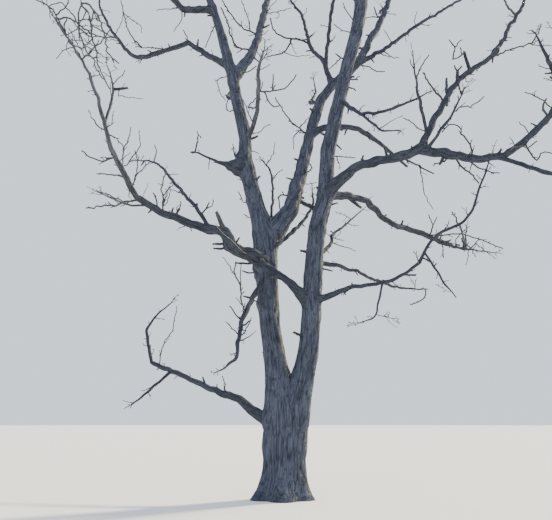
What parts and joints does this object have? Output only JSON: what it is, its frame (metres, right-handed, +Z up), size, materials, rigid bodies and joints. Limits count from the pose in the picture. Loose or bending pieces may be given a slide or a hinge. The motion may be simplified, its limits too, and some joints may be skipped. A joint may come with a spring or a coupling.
{
  "type": "dead tree",
  "caption": "Bare dead tree: a short flared trunk forks low into leaning stems, with crooked, tapering, leafless boughs that reach out to broken tips.",
  "frame": {"origin": "on the ground under the middle of the trunk, at the flat cut where the tree is rooted", "axes": "+Z up, +X to the tree's right seen from the front, +Y away behind it"},
  "size_m": [13.9828, 8.2586, 19.3488],
  "materials": {
    "furrowed_bark": "deeply furrowed grey-brown bark with interlacing ridges",
    "bough_bark": "rough dark grey-brown bark with fine furrows",
    "weathered_bark": "pale weathered bark mottled with grey-green lichen",
    "bare_wood": "barkless weathered wood with drying cracks"
  },
  "bodies": {
    "root": {"back_right_bough": "bough_bark", "behind_bough": "bough_bark", "between_bough": "bough_bark", "canker_bough": "bough_bark", "cross_limb": "bough_bark", "crotch_shoot": "bough_bark", "crown_back_bough": "bough_bark", "crown_front_bough": "bough_bark", "crown_left_bough": "bough_bark", "crown_right_bough": "bough_bark", "drooping_bough": "bough_bark", "falling_bough": "bough_bark", "far_left_bough": "bough_bark", "far_left_reach": "bough_bark", "fork_back_bough": "bough_bark", "fork_right_bough": "bough_bark", "fork_shoot": "bough_bark", "front_bough": "bough_bark", "front_bough_fork": "bough_bark", "hanging_bough": "bough_bark", "leader_back_bough": "bough_bark", "leader_front_bough": "bough_bark", "left_bough": "bough_bark", "left_bough_fork": "weathered_bark", "left_bough_rise": "weathered_bark", "left_front_bough": "bough_bark", "left_inner_leader": "furrowed_bark", "left_low_shoot": "weathered_bark", "left_rising_bough": "bough_bark", "left_stem": "furrowed_bark", "low_left_bough": "bough_bark", "low_left_spur": "bough_bark", "low_left_tip": "bough_bark", "low_right_bough": "bough_bark", "low_right_rise": "bough_bark", "middle_stem": "furrowed_bark", "middle_top_bough": "bough_bark", "pale_bough": "weathered_bark", "rear_bough": "bough_bark", "rear_left_bough": "bough_bark", "rear_low_bough": "bough_bark", "rear_middle_bough": "bough_bark", "rear_upper_bough": "bough_bark", "right_bough": "bough_bark", "right_bough_arc": "bough_bark", "right_bough_dip": "bough_bark", "right_bough_upper": "bough_bark", "right_fork_leader": "furrowed_bark", "right_low_fork": "bough_bark", "right_stem": "furrowed_bark", "right_upright": "bough_bark", "snapped_stub": "bare_wood", "spreading_bough": "bough_bark", "top_left_bough": "bough_bark", "trunk": "furrowed_bark", "upper_right_bough": "bough_bark", "upright_fork_left": "bough_bark", "upright_fork_right": "bough_bark"}
  },
  "joints": []
}
